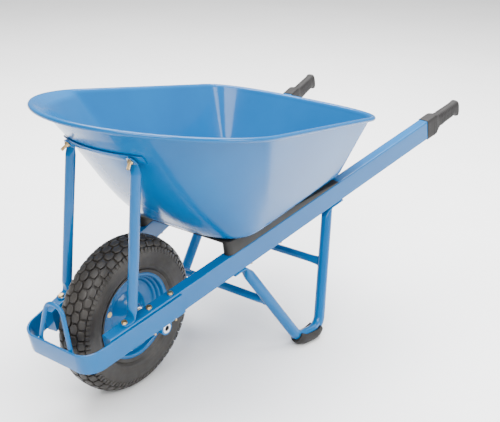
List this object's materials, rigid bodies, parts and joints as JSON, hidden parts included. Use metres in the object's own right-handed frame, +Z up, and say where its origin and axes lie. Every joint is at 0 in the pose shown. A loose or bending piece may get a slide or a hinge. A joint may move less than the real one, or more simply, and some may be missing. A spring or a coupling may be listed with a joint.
{
  "type": "wheelbarrow",
  "caption": "Builder's wheelbarrow: deep pressed tray on splayed box-section rails, bent-tube legs, nose guard and a pneumatic wheel that rolls in ball bearings.",
  "frame": {"origin": "on the floor, under the middle of the overall length and width", "axes": "+Z up, +Y towards the grips, wheel at -Y, +X the left side as the user sees it"},
  "size_m": [0.6636, 1.4724, 0.7321],
  "materials": {
    "paint": "gloss powder coat",
    "moulded_black": "matt, fine grain",
    "grip_rubber": "matt",
    "tyre_rubber": "matt",
    "tube_rubber": "matt",
    "zinc_yellow": "yellow zinc plate",
    "zinc_white": "bright zinc plate",
    "bearing_steel": "ground",
    "cage_steel": "pressed, lightly oiled"
  },
  "bodies": {
    "frame": {"tray": "paint", "rail_left": "paint", "rail_right": "paint", "nose_guard": "paint", "nose_hoop": "paint", "tray_stay_left": "paint", "tray_stay_right": "paint", "tray_stay_strap": "paint", "leg_left": "paint", "leg_right": "paint", "leg_brace_front": "paint", "leg_brace_rear": "paint", "axle_bracket_left": "paint", "axle_bracket_right": "paint", "riser_left": "moulded_black", "riser_right": "moulded_black", "tray_front_strip": "moulded_black", "foot_left": "moulded_black", "foot_right": "moulded_black", "grip_left": "grip_rubber", "grip_right": "grip_rubber", "stay_foot_bolts": "zinc_yellow", "stay_foot_nuts": "zinc_yellow", "stay_top_bolts": "zinc_yellow", "stay_top_nuts": "zinc_yellow", "bracket_bolts": "zinc_yellow", "bracket_nuts": "zinc_yellow", "leg_bolts": "zinc_yellow", "leg_nuts": "zinc_yellow", "tray_bolts": "zinc_yellow", "tray_nuts": "zinc_yellow", "axle": "zinc_white", "axle_spacer_left": "zinc_white", "axle_spacer_right": "zinc_white", "hub_spacer": "zinc_white", "bearing_inner_left": "bearing_steel", "bearing_inner_right": "bearing_steel"},
    "wheel": {"tyre": "tyre_rubber", "inner_tube": "tube_rubber", "rim_left": "paint", "rim_right": "paint", "hub": "paint", "rim_bolts": "zinc_yellow", "rim_nuts": "zinc_yellow", "bearing_outer_left": "bearing_steel", "bearing_outer_right": "bearing_steel", "valve_stem": "grip_rubber", "valve_cap": "moulded_black"},
    "balls_left": {"bearing_cage_left": "cage_steel", "bearing_balls_left": "bearing_steel"},
    "balls_right": {"bearing_cage_right": "cage_steel", "bearing_balls_right": "bearing_steel"}
  },
  "joints": [
    {"name": "wheel_spin", "type": "hinge", "parent": "frame", "child": "wheel", "pos_m": [0, -0.49381, 0.2], "axis": [1, 0, 0], "continuous": true},
    {"name": "left_balls_roll", "type": "hinge", "parent": "frame", "child": "balls_left", "pos_m": [0, -0.49381, 0.2], "axis": [1, 0, 0], "continuous": true},
    {"name": "right_balls_roll", "type": "hinge", "parent": "frame", "child": "balls_right", "pos_m": [0, -0.49381, 0.2], "axis": [1, 0, 0], "continuous": true}
  ],
  "couplings": [
    {"joint": "left_balls_roll", "follows": "wheel_spin", "ratio": 0.5917},
    {"joint": "right_balls_roll", "follows": "wheel_spin", "ratio": 0.5917}
  ]
}
